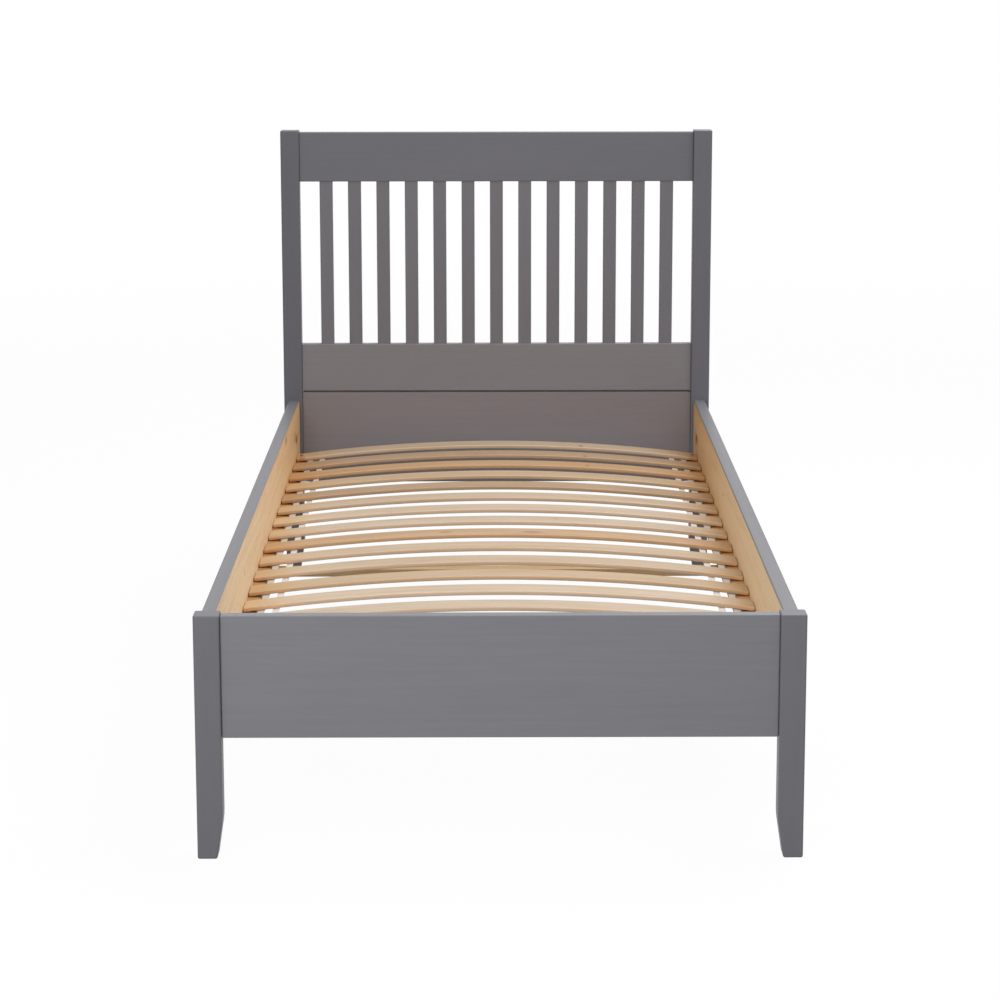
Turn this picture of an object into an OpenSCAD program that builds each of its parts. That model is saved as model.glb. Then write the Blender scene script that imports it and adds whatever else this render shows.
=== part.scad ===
// Single slatted bed frame in painted pine: headboard with flat spindles, low footboard,
// bolted side rails with slat ledges, and a roll of bowed slats. Millimetres, +Z up, head at +Y.
// The origin is on the floor, in the middle of the bed.

/* [Overall] */
// Width over the posts
bed_w = 980; // [880:5:1200]
// Length over the posts
bed_l = 1980; // [1780:10:2200]
// Height of the head posts
head_h = 1024; // [900:2:1200]
// Height of the foot posts
foot_h = 406; // [405:1:520]

/* [Posts] */
// Width of a post, across the bed
post_w = 42; // [40:1:55]
// Depth of a post, along the bed
post_d = 36; // [34:1:50]
// Radius of the long edges of a post
post_edge = 3; // [1:0.5:5]
// Height of the tapered foot of a post
taper_h = 67; // [40:1:120]
// How far the inner side of a post comes in at the floor
taper_in = 10; // [4:1:16]

/* [Boards] */
// Thickness of the footboard and of the headboard's boards
board_t = 20; // [18:0.5:26]
// Radius of the long edges of a board
board_edge = 2; // [1:0.5:4]
// From the front of a post back to the face of its board
board_recess = 9; // [4:1:12]
// Height of the footboard's lower edge above the floor
panel_z = 201; // [150:1:260]
// Height of the footboard
panel_h = 203; // [150:1:204]

/* [Headboard] */
// From the top of the head posts down to the top rail
top_rail_drop = 4; // [0:1:20]
// Height of the top rail
top_rail_h = 112; // [70:1:150]
// Height of the middle board's upper edge above the floor
middle_top = 534; // [480:1:620]
// Visible height of the middle board
middle_h = 109; // [80:1:150]
// Visible height of the lower board
lower_h = 211; // [120:1:260]
// Width of the groove that shows between the two boards
groove_gap = 4; // [2:0.5:6]
// Leg of the small chamfers along that groove
groove_leg = 0.8; // [0.3:0.1:1.5]
// Thickness of the tongue between the two boards
tongue_t = 6; // [4:0.5:8]
// Height of the tongue, with the part that shows in the groove
tongue_h = 12; // [10:0.5:16]

/* [Spindles] */
// Width of a spindle
spindle_w = 29.5; // [20:0.5:34]
// Thickness of a spindle
spindle_t = 16; // [12:0.5:18]
// Radius of the long edges of a spindle
spindle_edge = 2; // [1:0.5:4]
// From a head post to the nearest spindle
spindle_end_gap = 45; // [30:1:60]
// Step from the edge of a spindle in to its tenon
tenon_shoulder_w = 5; // [2:0.5:7]
// Step from the face of a spindle in to its tenon
tenon_shoulder_t = 3.5; // [2:0.5:4]
// Length of a spindle's tenon
tenon_l = 14; // [8:1:20]

/* [Side rails] */
// Thickness of a side rail
rail_t = 25; // [24:0.5:30]
// Height of a side rail's lower edge above the floor
rail_z = 203; // [180:1:220]
// Height of a side rail
rail_h = 200; // [185:1:215]
// Radius of the long edges of a side rail
rail_edge = 2.5; // [1:0.5:4]
// From the outer side of a post in to the outer face of a rail
rail_inset = 10; // [4:1:14]

/* [Rail bolts] */
// Height of the bolts above a rail's lower edge
bolt_up = 124; // [115:1:135]
// Diameter of a bolt
bolt_d = 8; // [6:0.5:9]
// From the inner face of a rail to its bolts
bolt_in = 11; // [10:0.5:12]
// From the end of a rail to its access pocket
pocket_end = 50; // [40:1:60]
// Length of an access pocket
pocket_l = 70; // [60:1:100]
// Height of an access pocket
pocket_h = 27; // [25:1:34]
// Thickness of a half-moon washer at its middle
washer_t = 7; // [4:0.5:9]
// Width of a half-moon washer, across the rail
washer_w = 16; // [14:0.5:16.5]
// Width of a nut across its flats
nut_w = 13; // [12:0.5:14]
// Thickness of a nut
nut_t = 6.5; // [5:0.5:8]
// Length of the bolt that stands past its nut
bolt_end = 5; // [2:0.5:10]
// Diameter of a threaded insert
insert_d = 12; // [11:0.5:14]
// Length of a threaded insert
insert_l = 22; // [16:1:26]
// Diameter of a rail dowel
rail_dowel_d = 10; // [8:0.5:11]
// Length of a rail dowel
rail_dowel_l = 36; // [30:1:40]
// From the middle of a rail's height to each of its dowels
rail_dowel_off = 60; // [48:1:62]

/* [Dowels] */
// Diameter of the dowels between boards and posts
dowel_d = 8; // [6:0.5:10]
// Length of the dowels between boards and posts
dowel_l = 40; // [30:1:50]
// How far those dowels go into a post
dowel_in_post = 13; // [10:0.5:13]
// From an edge of the top rail or the middle board to its nearest dowel
dowel_edge = 28; // [20:1:34]
// From an edge of the footboard or the lower board to its nearest dowel
wide_dowel_edge = 20; // [16:1:22]

/* [Slat ledges] */
// Height of the top of a ledge above the floor
ledge_top = 287; // [277:1:297]
// Height of a ledge
ledge_h = 45; // [38:1:52]
// Width of a ledge
ledge_w = 24; // [20:1:30]
// From a post to the end of a ledge, which ends just past the last slat
ledge_end_gap = 84; // [4:1:100]
// Radius of the long edges of a ledge
ledge_edge = 1.5; // [0.5:0.5:3]
// Length of a ledge screw
ledge_screw_l = 39; // [32:1:42]
// Diameter of a ledge screw
ledge_screw_d = 4; // [3:0.5:5]
// From the end of a ledge to its first screw
ledge_screw_end = 60; // [40:5:80]

/* [Slats] */
// Width of a slat, along the bed
slat_w = 53; // [45:1:60]
// Thickness of a slat
slat_t = 8; // [6:0.5:12]
// Rise of the bowed slat from its ends to its middle
slat_rise = 31; // [15:1:40]
// Gap between the end of a slat and the rail
slat_end_gap = 0.5; // [0.5:0.5:5]
// Radius of a slat's long edges
slat_edge = 2.5; // [1:0.5:2.5]
// Leg of the cut across a slat's corners, seen from above
slat_corner = 2; // [1:0.5:8]
// From the foot posts to the first slat
slat_foot_gap = 102; // [90:1:125]
// From the head posts to the last slat
slat_head_gap = 88; // [75:1:110]
// Length of a slat screw under its head
slat_screw_l = 28; // [20:1:32]
// Diameter of a slat screw
slat_screw_d = 4; // [3:0.5:5]
// Diameter of the screws' heads
screw_head_d = 8.5; // [7:0.5:10]
// Height of the screws' heads
screw_head_h = 2; // [1:0.1:3]

/* [Slat tapes] */
// From a ledge to the outer tape
outer_tape_gap = 3; // [1:0.5:10]
// From the outer tape to the inner tape
tapes_apart = 15; // [8:1:30]
// Width of a tape
tape_w = 12; // [8:1:14]
// Thickness of a tape
tape_t = 1.2; // [0.8:0.1:2]
// Length of a tape past the first and last slats
tape_end = 4; // [0:1:20]
// Width of a staple's crown
staple_w = 9; // [6:0.5:11]
// Thickness of a staple's wire
staple_t = 0.8; // [0.5:0.1:1.2]

/* [Centre crossbar] */
// Width of the crossbar, along the bed
crossbar_w = 32; // [26:1:50]
// Thickness of the crossbar
crossbar_t = 15; // [12:1:22]
// Length of a crossbar screw under its head
crossbar_screw_l = 32; // [26:1:36]

/* [Clearances] */
// Gap round a dowel, an insert or a screw in its hole
bore_fit = 0.1; // [0.05:0.01:0.15]
// Gap round a bolt in a rail
bolt_play = 0.75; // [0.3:0.05:1]
// Gap between a half-moon washer and the bottom of its pocket
pocket_fit = 0.5; // [0.2:0.1:1]
// Gap on each side of a tenon or a tongue
tenon_fit = 0.15; // [0.1:0.05:0.25]
// Spare depth at the bottom of a mortise, a groove or a blind hole
blind_fit = 1; // [0.5:0.1:2]
// Gap between a slat and the ledge, and between a tape and the slats
rest_fit = 0.2; // [0.1:0.05:0.3]

/* [Hidden] */
$fn = 48;
SPINDLES = 13;
SLATS = 16;
LEDGE_SCREWS = 5;
cut = 1; // how far a cutting shape runs past the face that it cuts

foot_y = -bed_l / 2;
head_y = bed_l / 2;
post_in = bed_w / 2 - post_w; // inner side of a post, from the middle
inner_w = 2 * post_in; // between the posts
foot_board_y = foot_y + board_recess;
head_board_y = head_y - post_d + board_recess;

rail_y0 = foot_y + post_d;
rail_y1 = head_y - post_d;
rail_l = rail_y1 - rail_y0;
rail_out = bed_w / 2 - rail_inset;
rail_in = rail_out - rail_t; // inner face of a rail, from the middle
rail_mid_x = rail_out - rail_t / 2;
bolt_x = rail_in + bolt_in;
bolt_z = rail_z + bolt_up;
pocket_d = bolt_in + washer_w / 2 + pocket_fit;
pocket_r = pocket_h / 2;
pocket_y = rail_y1 - pocket_end - pocket_r; // middle of the pocket's round end at the head
washer_r = pocket_r - rest_fit;
washer_y = pocket_y + washer_r - washer_t; // the washer's flat face
rail_mid_z = rail_z + rail_h / 2;
rail_dowel_zs = [rail_mid_z - rail_dowel_off, rail_mid_z + rail_dowel_off];

top_rail_top = head_h - top_rail_drop;
top_rail_z = top_rail_top - top_rail_h;
middle_z = middle_top - middle_h;
lower_top = middle_z - groove_gap;
lower_z = lower_top - lower_h;
spindle_l = top_rail_z - middle_top;
spindle_pitch = (inner_w - spindle_w - 2 * spindle_end_gap) / (SPINDLES - 1);
tenon_w = spindle_w - 2 * tenon_shoulder_w;
tenon_t = spindle_t - 2 * tenon_shoulder_t;

top_rail_dowels = [top_rail_z + dowel_edge, top_rail_top - dowel_edge];
middle_dowels = [middle_z + dowel_edge, middle_top - dowel_edge];
lower_dowels = [lower_z + wide_dowel_edge, lower_top - wide_dowel_edge];
head_dowels = concat(top_rail_dowels, middle_dowels, lower_dowels);
foot_dowels = [panel_z + wide_dowel_edge, panel_z + panel_h - wide_dowel_edge];

ledge_in = rail_in - ledge_w; // inner face of a ledge, from the middle
ledge_l = rail_l - 2 * ledge_end_gap;
ledge_y = rail_y0 + ledge_end_gap;
ledge_z = ledge_top - ledge_h;
ledge_mid_z = ledge_top - ledge_h / 2;
ledge_screw_pitch = (ledge_l - 2 * ledge_screw_end) / (LEDGE_SCREWS - 1);
slat_screw_x = rail_in - ledge_w / 2;

slat_l = 2 * (rail_in - slat_end_gap);
slat_z = ledge_top + rest_fit; // lowest edge of a slat, at its ends
bow_r = (pow(slat_l / 2, 2) + pow(slat_rise, 2)) / (2 * slat_rise); // radius of a slat's underside
bow_z = slat_z + slat_rise - bow_r; // height of the centre of that radius
slats_y0 = rail_y0 + slat_foot_gap;
slats_y1 = rail_y1 - slat_head_gap;
slat_pitch = (slats_y1 - slats_y0 - slat_w) / (SLATS - 1);
outer_tape_x = ledge_in - outer_tape_gap - tape_w / 2;
inner_tape_x = outer_tape_x - tape_w - tapes_apart;
tape_l = slats_y1 - slats_y0 + 2 * tape_end;
crossbar_top = ledge_z;

function two(i) = i < 10 ? str("0", i) : str(i);
function slat_y(i) = slats_y0 + (i - 1) * slat_pitch;
function spindle_x(i) = (i - (SPINDLES + 1) / 2) * spindle_pitch;
function under_slat(x) = bow_z + sqrt(pow(bow_r, 2) - pow(x, 2));
function over_slat(x) = bow_z + sqrt(pow(bow_r + slat_t, 2) - pow(x, 2));

painted_grey = [0.45, 0.45, 0.46];
bare_pine = [0.85, 0.70, 0.50];
slat_wood = [0.82, 0.68, 0.51];
dowel_wood = [0.80, 0.66, 0.47];
webbing = [0.88, 0.87, 0.84];
zinc = [0.72, 0.72, 0.74];
bronze = [0.56, 0.33, 0.20];

// ---- helpers ----

// A rectangle with rounded corners, centred
module eased(w, h, r) {
    square([w - 2 * r, h], center = true);
    square([w, h - 2 * r], center = true);
    for (x = [-1, 1], y = [-1, 1]) translate([x * (w / 2 - r), y * (h / 2 - r)]) circle(r);
}

// Lays a profile of [across, up] along the bed, from y = 0
module along_bed(length) {
    translate([0, length, 0]) rotate([90, 0, 0]) linear_extrude(length) children();
}

// Lays a profile of [along, up] across the bed, centred
module across_bed(length) {
    rotate([90, 0, 90]) linear_extrude(length, center = true) children();
}

// A round bar or hole that runs along the bed, from y to y + length
module rod_along(d, x, y, z, length) {
    translate([x, y + length, z]) rotate([90, 0, 0]) cylinder(h = length, d = d);
}

// A round bar or hole that runs across the bed, from x to x + length
module rod_across(d, x, y, z, length) {
    translate([x, y, z]) rotate([0, 90, 0]) cylinder(h = length, d = d);
}

// The same thing on both sides of the bed; children are made for the right one
module both_sides() {
    children();
    mirror([1, 0, 0]) children();
}

// The same thing at both ends of the bed; children are made for the head end
module both_ends() {
    children();
    mirror([0, 1, 0]) children();
}

module on_side(side) {
    if (side < 0) mirror([1, 0, 0]) children();
    else children();
}

// A wood screw along +Z, with the underside of its head at z = 0 and its point at z = length
module wood_screw(d, length) {
    tip = d;
    translate([0, 0, -screw_head_h]) cylinder(h = screw_head_h, d = screw_head_d);
    cylinder(h = length - tip, d = d);
    translate([0, 0, length - tip]) cylinder(h = tip, d1 = d, d2 = d / 8);
}

// ---- posts ----

module post_blank(height) {
    difference() {
        linear_extrude(height) eased(post_w, post_d, post_edge);
        taper_cut();
    }
}

// Takes the wedge off the inner side of a right-hand post
module taper_cut() {
    along = post_d + 2 * cut;
    translate([-post_w / 2, -along / 2, 0]) along_bed(along)
        polygon([[-cut, -cut], [taper_in * (1 + cut / taper_h), -cut], [0, taper_h], [-cut, taper_h]]);
}

// Holes for a board's dowels, in the inner side of a right-hand post
module post_dowel_holes(board_y, heights) {
    depth = dowel_in_post + blind_fit;
    for (z = heights)
        rod_across(dowel_d + 2 * bore_fit, post_in - cut, board_y + board_t / 2, z, depth + cut);
}

// Holes for the insert and the rail's dowels, in the head post's front face
module post_rail_holes() {
    depth = insert_l + blind_fit;
    rod_along(insert_d + 2 * bore_fit, bolt_x, rail_y1 - cut, bolt_z, depth + cut);
    for (z = rail_dowel_zs)
        rod_along(rail_dowel_d + 2 * bore_fit, rail_mid_x, rail_y1 - cut, z,
                  rail_dowel_l / 2 + blind_fit + cut);
}

module head_post(side) {
    color(painted_grey) on_side(side) difference() {
        translate([bed_w / 2 - post_w / 2, head_y - post_d / 2, 0]) post_blank(head_h);
        post_dowel_holes(head_board_y, head_dowels);
        post_rail_holes();
    }
}

module foot_post(side) {
    color(painted_grey) on_side(side) difference() {
        translate([bed_w / 2 - post_w / 2, foot_y + post_d / 2, 0]) post_blank(foot_h);
        post_dowel_holes(foot_board_y, foot_dowels);
        mirror([0, 1, 0]) post_rail_holes();
    }
}

// ---- headboard and footboard ----

// A board between two posts, from its lower edge up, drilled in both ends for dowels
module board(board_y, z, height, dowels) {
    difference() {
        translate([0, board_y + board_t / 2, z + height / 2])
            across_bed(inner_w) eased(board_t, height, board_edge);
        both_sides() board_dowel_holes(board_y, dowels);
    }
}

module board_dowel_holes(board_y, dowels) {
    depth = dowel_l - dowel_in_post + blind_fit;
    for (h = dowels)
        rod_across(dowel_d + 2 * bore_fit, post_in - depth, board_y + board_t / 2, h, depth + cut);
}

// Mortises for the spindles' tenons, going up from height z
module mortises(z, depth) {
    for (i = [1:SPINDLES])
        translate([spindle_x(i), head_board_y + board_t / 2, z + depth / 2])
            cube([tenon_w + 2 * tenon_fit, tenon_t + 2 * tenon_fit, depth], center = true);
}

module headboard_top_rail() {
    color(painted_grey) difference() {
        board(head_board_y, top_rail_z, top_rail_h, top_rail_dowels);
        mortises(top_rail_z - cut, tenon_l + blind_fit + cut);
    }
}

module headboard_spindle(i) {
    color(painted_grey) translate([spindle_x(i), head_board_y + board_t / 2, middle_top]) {
        linear_extrude(spindle_l) eased(spindle_w, spindle_t, spindle_edge);
        translate([-tenon_w / 2, -tenon_t / 2, -tenon_l])
            cube([tenon_w, tenon_t, spindle_l + 2 * tenon_l]);
    }
}

// The groove's small chamfers, cut along a board's edge at height z, front and back
module groove_chamfers(z) {
    reach = groove_leg * sqrt(2);
    for (y = [head_board_y, head_board_y + board_t])
        translate([0, y, z]) rotate([45, 0, 0])
            cube([inner_w + 2 * cut, reach, reach], center = true);
}

// A square-edged board, chamfered along its edge at the groove
module square_board(z, height, dowels, groove_z) {
    difference() {
        translate([-post_in, head_board_y, z]) cube([inner_w, board_t, height]);
        both_sides() board_dowel_holes(head_board_y, dowels);
        groove_chamfers(groove_z);
    }
}

module headboard_middle_board() {
    color(painted_grey) {
        difference() {
            square_board(middle_z, middle_h, middle_dowels, middle_z);
            mortises(middle_top - tenon_l - blind_fit, tenon_l + blind_fit + cut);
        }
        translate([-post_in, head_board_y + (board_t - tongue_t) / 2, middle_z - tongue_h])
            cube([inner_w, tongue_t, tongue_h + cut]);
    }
}

module headboard_lower_board() {
    slot_t = tongue_t + 2 * tenon_fit;
    slot_h = tongue_h - groove_gap + blind_fit;
    color(painted_grey) difference() {
        square_board(lower_z, lower_h, lower_dowels, lower_top);
        translate([-post_in - cut, head_board_y + (board_t - slot_t) / 2, lower_top - slot_h])
            cube([inner_w + 2 * cut, slot_t, slot_h + cut]);
    }
}

module footboard_panel() {
    color(painted_grey) board(foot_board_y, panel_z, panel_h, foot_dowels);
}

// ---- side rails ----

// A slot with round ends, cut into the inner face of the right-hand rail near the head
module access_pocket() {
    far_y = pocket_y - pocket_l + pocket_h;
    for (y = [pocket_y, far_y]) rod_across(pocket_h, rail_in - cut, y, bolt_z, pocket_d + cut);
    translate([rail_in - cut, far_y, bolt_z - pocket_r])
        cube([pocket_d + cut, pocket_y - far_y, pocket_h]);
}

// Bolt hole, pocket and dowel holes at the head end of the right-hand rail
module rail_end_cuts() {
    access_pocket();
    rod_along(bolt_d + 2 * bolt_play, bolt_x, pocket_y, bolt_z, rail_y1 - pocket_y + cut);
    depth = rail_dowel_l / 2 + blind_fit;
    for (z = rail_dowel_zs)
        rod_along(rail_dowel_d + 2 * bore_fit, rail_mid_x, rail_y1 - depth, z, depth + cut);
}

module side_rail(side) {
    color(painted_grey) on_side(side) difference() {
        translate([rail_mid_x, rail_y0, rail_z + rail_h / 2])
            along_bed(rail_l) eased(rail_t, rail_h, rail_edge);
        both_ends() rail_end_cuts();
        ledge_screw_holes();
    }
}

// ---- rail bolts, inserts, washers, nuts and dowels ----

module rail_bolts() {
    start = washer_y - nut_t - bolt_end;
    color(zinc) both_sides() both_ends()
        rod_along(bolt_d, bolt_x, start, bolt_z, rail_y1 + insert_l - start);
}

module threaded_inserts() {
    color(zinc) both_sides() both_ends() difference() {
        rod_along(insert_d, bolt_x, rail_y1, bolt_z, insert_l);
        rod_along(bolt_d + 2 * bore_fit, bolt_x, rail_y1 - cut, bolt_z, insert_l + 2 * cut);
    }
}

// The part of a round bar that fits the end of the pocket, cut flat for the nut
module half_moon_washer() {
    span = 4 * washer_r;
    difference() {
        rod_across(2 * washer_r, bolt_x - washer_w / 2, pocket_y, bolt_z, washer_w);
        translate([bolt_x - washer_w, washer_y - span, bolt_z - span / 2])
            cube([2 * washer_w, span, span]);
        rod_along(bolt_d + 2 * bore_fit, bolt_x, washer_y - cut, bolt_z, washer_t + 2 * cut);
    }
}

module half_moon_washers() {
    color(zinc) both_sides() both_ends() half_moon_washer();
}

module rail_nut() {
    difference() {
        translate([bolt_x, washer_y, bolt_z]) rotate([90, 30, 0])
            cylinder(h = nut_t, d = nut_w / cos(30), $fn = 6);
        rod_along(bolt_d + 2 * bore_fit, bolt_x, washer_y - nut_t - cut, bolt_z, nut_t + 2 * cut);
    }
}

module rail_nuts() {
    color(zinc) both_sides() both_ends() rail_nut();
}

module rail_dowels() {
    color(dowel_wood) both_sides() both_ends() for (z = rail_dowel_zs)
        rod_along(rail_dowel_d, rail_mid_x, rail_y1 - rail_dowel_l / 2, z, rail_dowel_l);
}

module board_dowels(board_y, heights) {
    color(dowel_wood) both_sides() for (z = heights)
        rod_across(dowel_d, post_in + dowel_in_post - dowel_l, board_y + board_t / 2, z, dowel_l);
}

// ---- slat ledges and crossbar ----

// Holes for the right-hand ledge's screws, through the ledge and into its rail
module ledge_screw_holes() {
    depth = ledge_screw_l + blind_fit;
    for (i = [0:LEDGE_SCREWS - 1])
        rod_across(ledge_screw_d + 2 * bore_fit, ledge_in - cut,
                   ledge_y + ledge_screw_end + i * ledge_screw_pitch, ledge_mid_z, depth + cut);
}

// Holes for the screws that come down through the end slats into the right-hand ledge
module slat_screw_holes() {
    for (i = [1, SLATS])
        translate([slat_screw_x, slat_y(i) + slat_w / 2, slat_z - slat_screw_l])
            cylinder(h = slat_screw_l + slat_t + slat_rise, d = slat_screw_d + 2 * bore_fit);
}

// Holes for the screws that come up through the crossbar into the right-hand ledge
module crossbar_screw_holes() {
    for (y = [-1, 1])
        translate([slat_screw_x, y * crossbar_w / 4, crossbar_top - crossbar_t - cut])
            cylinder(h = crossbar_screw_l + blind_fit + cut, d = ledge_screw_d + 2 * bore_fit);
}

module slat_ledge(side) {
    color(bare_pine) on_side(side) difference() {
        translate([rail_in - ledge_w / 2, ledge_y, ledge_mid_z])
            along_bed(ledge_l) eased(ledge_w, ledge_h, ledge_edge);
        ledge_screw_holes();
        slat_screw_holes();
        crossbar_screw_holes();
    }
}

module ledge_screws() {
    color(zinc) both_sides() for (i = [0:LEDGE_SCREWS - 1])
        translate([ledge_in, ledge_y + ledge_screw_end + i * ledge_screw_pitch, ledge_mid_z])
            rotate([0, 90, 0]) wood_screw(ledge_screw_d, ledge_screw_l);
}

module centre_crossbar() {
    color(bare_pine) difference() {
        translate([0, 0, crossbar_top - crossbar_t / 2])
            across_bed(slat_l) eased(crossbar_w, crossbar_t, ledge_edge);
        both_sides() crossbar_screw_holes();
    }
}

module crossbar_screws() {
    color(zinc) both_sides() for (y = [-1, 1])
        translate([slat_screw_x, y * crossbar_w / 4, crossbar_top - crossbar_t])
            wood_screw(ledge_screw_d, crossbar_screw_l);
}

// ---- slats and tapes ----

// A slat seen from above, with cut corners; its long sides run past the slat's own
module slat_outline() {
    end = slat_l / 2;
    side = slat_w / 2;
    end_side = side - slat_corner;
    side_end = end - slat_corner - cut;
    polygon([
        [side_end, -side - cut], [end, -end_side], [end, end_side], [side_end, side + cut],
        [-side_end, side + cut], [-end, end_side], [-end, -end_side], [-side_end, -side - cut]
    ]);
}

// One bowed slat, a strip of a large ring, cut to length
module slat_blank(y) {
    half_angle = asin((slat_l / 2 + 10) / bow_r);
    mid_y = y + slat_w / 2;
    intersection() {
        translate([0, mid_y, bow_z]) rotate([0, -90, 90]) rotate([0, 0, -half_angle])
            rotate_extrude(angle = 2 * half_angle)
                translate([bow_r + slat_t / 2, 0]) eased(slat_t, slat_w, slat_edge);
        translate([0, mid_y, slat_z - slat_t])
            linear_extrude(slat_rise + 3 * slat_t) slat_outline();
    }
}

module slat(i) {
    color(slat_wood) difference() {
        slat_blank(slat_y(i));
        if (i == 1 || i == SLATS) both_sides() slat_screw_holes();
    }
}

// The screws' heads rest on the higher side of the bowed slat
module slat_screws() {
    top = over_slat(slat_screw_x - screw_head_d / 2);
    color(bronze) both_sides() for (i = [1, SLATS])
        translate([slat_screw_x, slat_y(i) + slat_w / 2, top])
            rotate([180, 0, 0]) wood_screw(slat_screw_d, slat_screw_l);
}

// Lays its children under the slats' bow at x, with their top face up
module under_bow(x, y) {
    translate([x, y, under_slat(x)]) rotate([0, asin(x / bow_r), 0]) translate([0, 0, -rest_fit])
        children();
}

module slat_tape(x) {
    color(webbing) under_bow(x, slat_y(1) - tape_end)
        translate([-tape_w / 2, 0, -tape_t]) cube([tape_w, tape_l, tape_t]);
}

module tape_staples() {
    color(zinc) both_sides() for (x = [inner_tape_x, outer_tape_x], i = [1:SLATS])
        under_bow(x, slat_y(i) + slat_w / 2)
            translate([-staple_w / 2, -staple_t / 2, -tape_t - staple_t])
                cube([staple_w, staple_t, staple_t]);
}

// ---- the assembly ----

head_post(-1);  // head_post_left
head_post(1);  // head_post_right
headboard_top_rail();
for (i = [1:SPINDLES])
    headboard_spindle(i);
headboard_middle_board();
headboard_lower_board();
foot_post(-1);  // foot_post_left
foot_post(1);  // foot_post_right
footboard_panel();
side_rail(-1);  // side_rail_left
side_rail(1);  // side_rail_right
slat_ledge(-1);  // slat_ledge_left
slat_ledge(1);  // slat_ledge_right
for (i = [1:SLATS])
    slat(i);
centre_crossbar();
slat_tape(-outer_tape_x);  // slat_tape_left_outer
slat_tape(-inner_tape_x);  // slat_tape_left_inner
slat_tape(inner_tape_x);  // slat_tape_right_inner
slat_tape(outer_tape_x);  // slat_tape_right_outer
tape_staples();
slat_screws();
ledge_screws();
crossbar_screws();
rail_bolts();
threaded_inserts();
half_moon_washers();
rail_nuts();
rail_dowels();
board_dowels(head_board_y, head_dowels);  // headboard_dowels
board_dowels(foot_board_y, foot_dowels);  // footboard_dowels
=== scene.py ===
# %% [markdown]
# # A single bed frame in painted pine
# This lesson dresses a measured model of a bed: a tall headboard with flat spindles, a low
# footboard, two long rails and a row of bowed slats. The measured model already knows every
# length and every joint. What Blender adds is what the eye looks for: softened edges, timber
# that shows through the paint, bare wood with rings and knots, webbing, screws and light.

# %% Load the measured frame
import math
import random

import bmesh
import bpy
from mathutils import Matrix, Vector


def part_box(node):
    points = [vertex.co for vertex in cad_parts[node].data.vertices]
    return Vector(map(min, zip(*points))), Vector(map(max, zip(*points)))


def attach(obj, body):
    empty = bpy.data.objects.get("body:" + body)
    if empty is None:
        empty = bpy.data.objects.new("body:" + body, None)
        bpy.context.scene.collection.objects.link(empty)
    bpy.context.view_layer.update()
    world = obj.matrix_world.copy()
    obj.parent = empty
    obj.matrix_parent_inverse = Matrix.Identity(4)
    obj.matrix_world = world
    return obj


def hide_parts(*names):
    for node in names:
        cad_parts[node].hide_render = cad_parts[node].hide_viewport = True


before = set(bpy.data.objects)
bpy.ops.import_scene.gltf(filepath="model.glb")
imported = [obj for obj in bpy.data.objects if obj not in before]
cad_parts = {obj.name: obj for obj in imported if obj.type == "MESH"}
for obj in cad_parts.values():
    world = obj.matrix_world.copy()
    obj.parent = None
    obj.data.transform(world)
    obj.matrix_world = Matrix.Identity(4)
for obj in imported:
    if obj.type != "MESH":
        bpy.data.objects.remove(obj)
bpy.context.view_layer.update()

scene = bpy.context.scene

# %% [markdown]
# ## The measures that a box can't tell
# Each piece takes its place from the box of the measured node that it stands for. A box says
# nothing about rounded edges, tapers, tenons or pockets, so those few sizes are written here,
# once, in metres. A joiner works in millimetres, and so does this list. Two corners nearer
# than a thousandth of one count as the same place.

# %% Joiner's sizes
MM = 0.001
SAME_PLACE = 0.001 * MM
SHARP_ANGLE = math.radians(60)
POST_EDGE = 3 * MM
POST_TOP_EDGE = 2.5 * MM
POST_FOOT_EDGE = 3.5 * MM
TAPER_HEIGHT = 67 * MM
TAPER_IN = 10 * MM
TAPER_KNEE = ((8 * MM, 0), (0, 0.35 * MM), (-8 * MM, 1.19 * MM))
BOARD_EDGE = 2 * MM
BOARD_END_EDGE = 1.5 * MM
PANEL_END_EDGE = 2.5 * MM
GROOVE_LEG = 0.8 * MM
GROOVE_GAP = 4 * MM
TONGUE_THICK = 6 * MM
TONGUE_HIGH = 12 * MM
TONGUE_PLAY = 0.15 * MM
GROOVE_SPARE = 1 * MM
SPINDLE_EDGE = 2 * MM
TENON_LONG = 14 * MM
TENON_SIZE = Vector((19.5, 9)) * MM
RAIL_EDGE = 2.5 * MM
LEDGE_EDGE = 1.5 * MM
SLAT_THICK = 8 * MM
SLAT_EDGE = 2.5 * MM
SLAT_CORNER = 2 * MM
print("sizes in metres, such as a post's long edge:", POST_EDGE)

# %% [markdown]
# ## Blocks of wood
# Every timber piece starts as a sawn block. One cube operator makes it, a scale and a move
# give it its size and place, and a bevel takes the sharpness off its edges, as a joiner's
# sandpaper does. Working in a bmesh keeps the object itself at the origin, unturned, so the
# shape's place is in its mesh and a pattern laid on it can't slide.

# %% A block, its edges and their easing
def node_box(node):
    low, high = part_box(node)
    return Vector(low), Vector(high)


def block(low, high):
    wood = bmesh.new()
    bmesh.ops.create_cube(wood, size=1)
    bmesh.ops.scale(wood, vec=high - low, verts=wood.verts)
    bmesh.ops.translate(wood, vec=(low + high) / 2, verts=wood.verts)
    return wood


def edges_along(wood, axis):
    others = [other for other in range(3) if other != axis]
    return [edge for edge in wood.edges
            if all(abs(edge.verts[0].co[i] - edge.verts[1].co[i]) < SAME_PLACE for i in others)]


def edges_at(wood, axis, level):
    return [edge for edge in wood.edges
            if all(abs(corner.co[axis] - level) < SAME_PLACE for corner in edge.verts)]


def ease(wood, edges, radius, segments=3):
    bmesh.ops.bevel(wood, geom=edges, offset=radius, offset_type="OFFSET", segments=segments,
                    profile=0.5, affect="EDGES", material=-1)


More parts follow.
